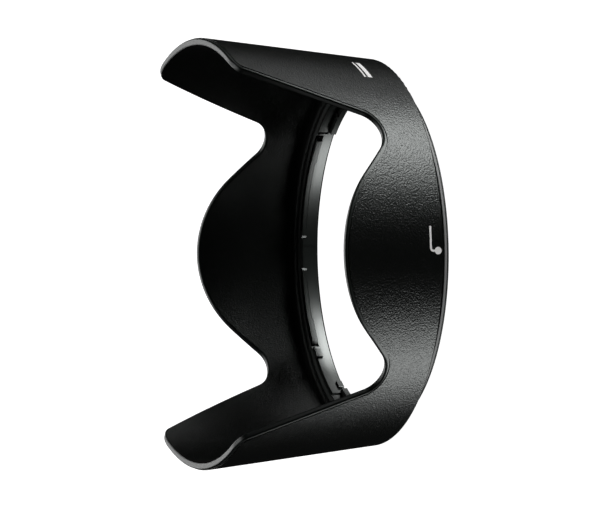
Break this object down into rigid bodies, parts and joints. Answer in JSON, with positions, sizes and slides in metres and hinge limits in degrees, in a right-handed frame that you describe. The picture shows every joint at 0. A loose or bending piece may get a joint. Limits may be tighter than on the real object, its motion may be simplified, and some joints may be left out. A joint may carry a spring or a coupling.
{
  "type": "petal lens hood",
  "caption": "Petal-shaped lens hood with long and short petals, an inner bayonet ring with sprung detent arms, and a printed alignment mark.",
  "frame": {"origin": "on the optical axis, in the plane of the rear rim (bottom centre of the bounding box)", "axes": "+Z forward along the optical axis to the front of the petals, +X and -X through the long petals, -Y through the short petal with the alignment mark"},
  "size_m": [0.0932, 0.0894, 0.043],
  "materials": {
    "shell_plastic": "satin black with a fine leather-like grain outside, matte inside",
    "ring_plastic": "smooth satin black",
    "print_white": "matte pad-printed off-white ink"
  },
  "bodies": {
    "hood": {"petal_shell": "shell_plastic", "bayonet_ring": "ring_plastic", "index_mark": "print_white", "print_stripes": "print_white"},
    "long_arm_1": {"long_detent_arm_1": "ring_plastic"},
    "long_arm_2": {"long_detent_arm_2": "ring_plastic"},
    "short_arm_1": {"short_detent_arm_1": "ring_plastic"},
    "short_arm_2": {"short_detent_arm_2": "ring_plastic"}
  },
  "joints": [
    {"name": "long_arm_1_flex", "type": "hinge", "parent": "hood", "child": "long_arm_1", "pos_m": [0.004, 0.03683, 0.0036], "axis": [0, 0, 1], "range_deg": [0, 0.8], "stiffness_Nm_per_rad": 0.02},
    {"name": "short_arm_1_flex", "type": "hinge", "parent": "hood", "child": "short_arm_1", "pos_m": [-0.004, 0.03683, 0.0036], "axis": [0, 0, -1], "range_deg": [0, 1], "stiffness_Nm_per_rad": 0.02},
    {"name": "long_arm_2_flex", "type": "hinge", "parent": "hood", "child": "long_arm_2", "pos_m": [-0.004, -0.03683, 0.0036], "axis": [0, 0, 1], "range_deg": [0, 0.8], "stiffness_Nm_per_rad": 0.02},
    {"name": "short_arm_2_flex", "type": "hinge", "parent": "hood", "child": "short_arm_2", "pos_m": [0.004, -0.03683, 0.0036], "axis": [0, 0, -1], "range_deg": [0, 1], "stiffness_Nm_per_rad": 0.02}
  ]
}
